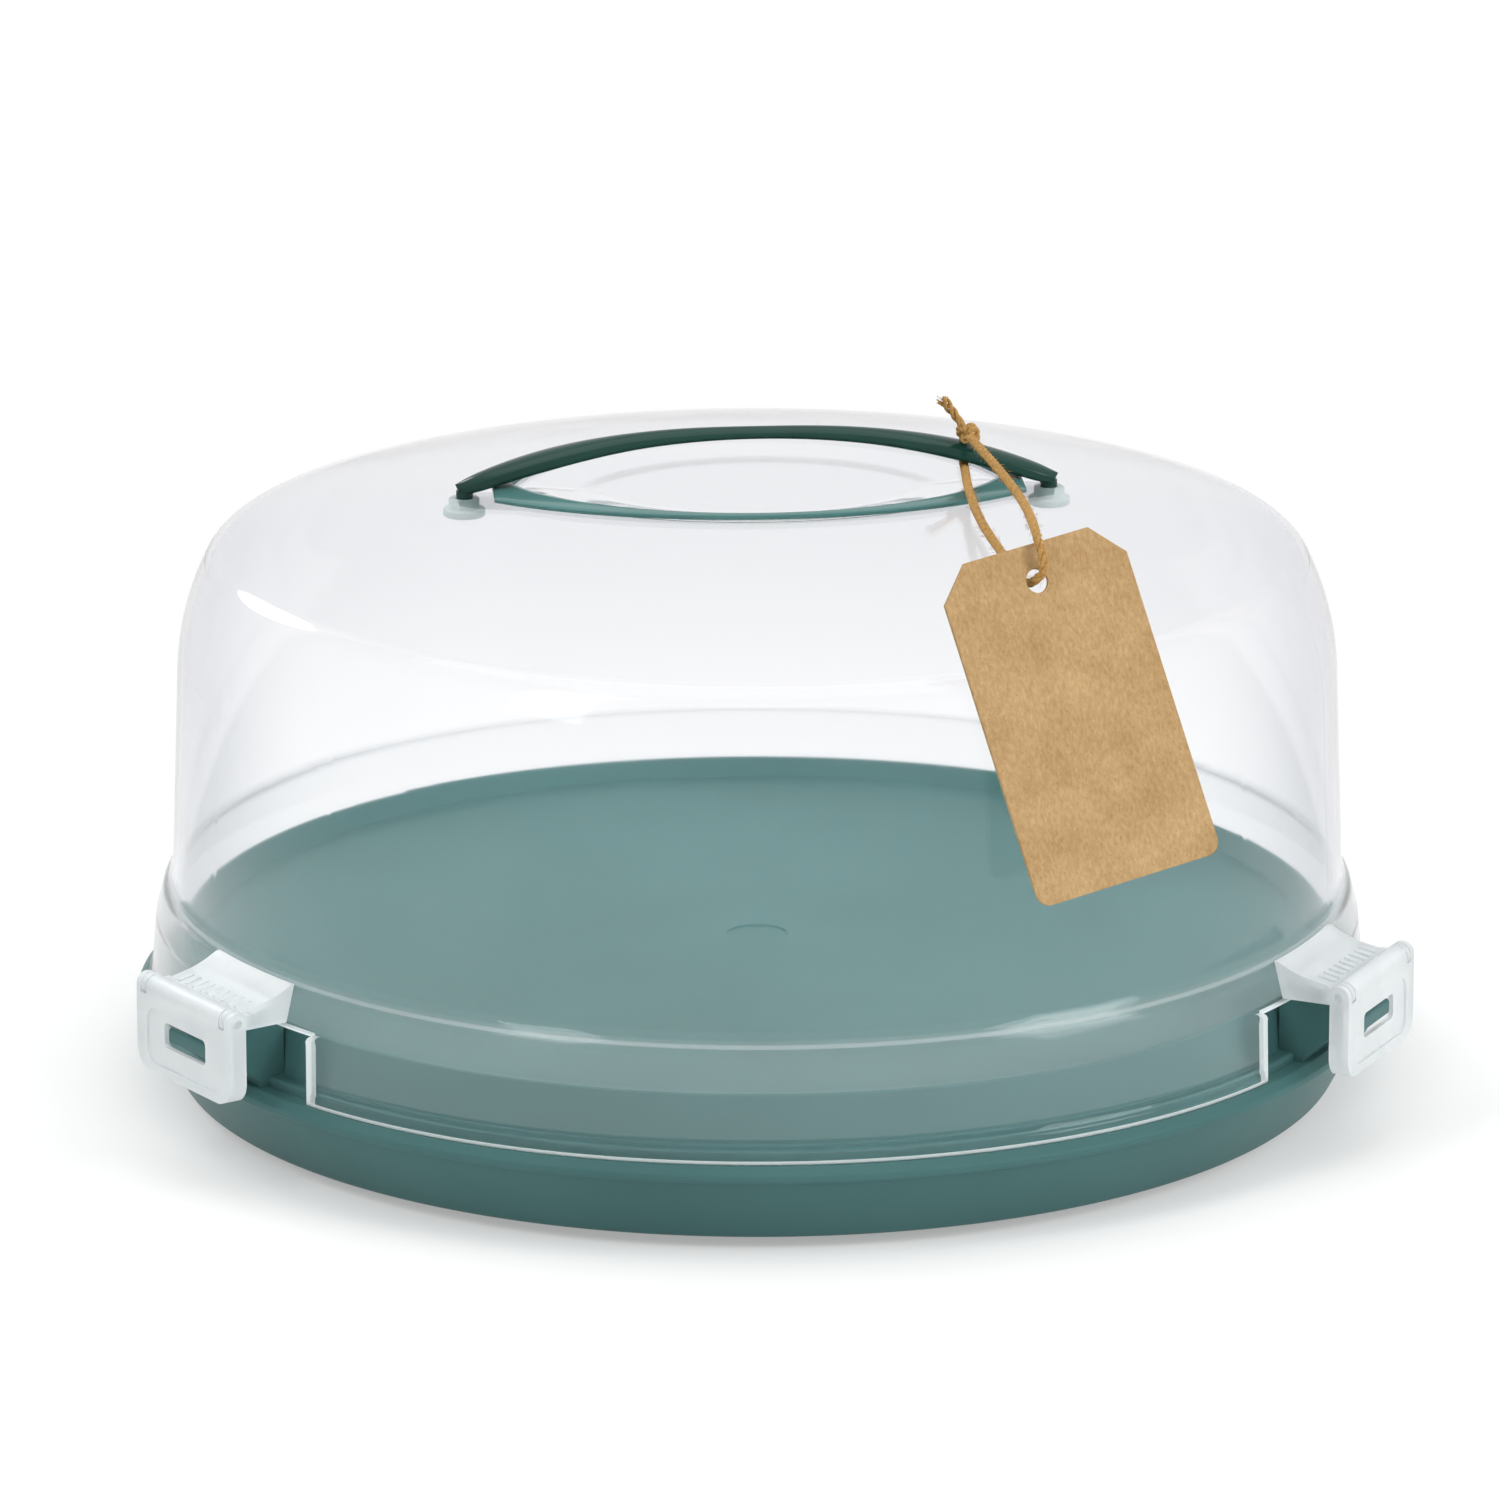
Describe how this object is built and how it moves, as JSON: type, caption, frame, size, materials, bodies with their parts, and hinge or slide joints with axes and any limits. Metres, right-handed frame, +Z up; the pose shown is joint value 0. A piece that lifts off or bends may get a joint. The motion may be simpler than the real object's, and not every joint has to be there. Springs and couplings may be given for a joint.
{
  "type": "cake carrier",
  "caption": "Round cake carrier: a footed serving tray under a clear domed lid with an arched grip, hinged side clips that catch lugs on the tray, and a blank card tag on twine.",
  "frame": {"origin": "middle of the underside of the tray's central foot, at the level the tray stands on", "axes": "+Z up out of the tray; the front, with the tag, faces -Y; the grip lies along X"},
  "size_m": [0.3474, 0.345, 0.1918],
  "materials": {
    "tray_teal": "satin moulded polypropylene, grey teal",
    "lid_clear": "clear polished plastic",
    "handle_teal": "gloss moulded plastic, dark teal",
    "ring_teal": "gloss moulded plastic, teal",
    "cap_teal": "satin moulded plastic, grey teal",
    "clip_frosted": "frosted translucent plastic",
    "kraft_card": "uncoated brown kraft card",
    "twine": "natural jute twine, three twisted strands"
  },
  "bodies": {
    "base": {"base_tray": "tray_teal"},
    "lid": {"lid_dome": "lid_clear", "handle_grip": "handle_teal", "handle_seat_ring": "ring_teal", "handle_stud_cap_left": "cap_teal", "handle_stud_cap_right": "cap_teal", "clip_bracket_left": "clip_frosted", "clip_pin_left": "clip_frosted", "clip_bracket_right": "clip_frosted", "clip_pin_right": "clip_frosted", "twine": "twine", "twine_knot": "twine", "twine_tail": "twine"},
    "clip_left": {"clip_flap_left": "clip_frosted"},
    "clip_right": {"clip_flap_right": "clip_frosted"},
    "tag": {"swing_tag": "kraft_card"}
  },
  "joints": [
    {"name": "lid_lift", "type": "slide", "parent": "base", "child": "lid", "axis": [0, 0, 1], "range_m": [0, 0.18]},
    {"name": "clip_left_hinge", "type": "hinge", "parent": "lid", "child": "clip_left", "pos_m": [-0.15918, -0.0919, 0.0505], "axis": [-0.5, 0.866, 0], "range_deg": [0, 120]},
    {"name": "clip_right_hinge", "type": "hinge", "parent": "lid", "child": "clip_right", "pos_m": [0.15918, -0.0919, 0.0505], "axis": [-0.5, -0.866, 0], "range_deg": [0, 120]},
    {"name": "tag_swing", "type": "hinge", "parent": "lid", "child": "tag", "pos_m": [0.0634, -0.1279, 0.1725], "axis": [-0.8888, -0.4419, -0.1214], "range_deg": [0, 35]}
  ]
}
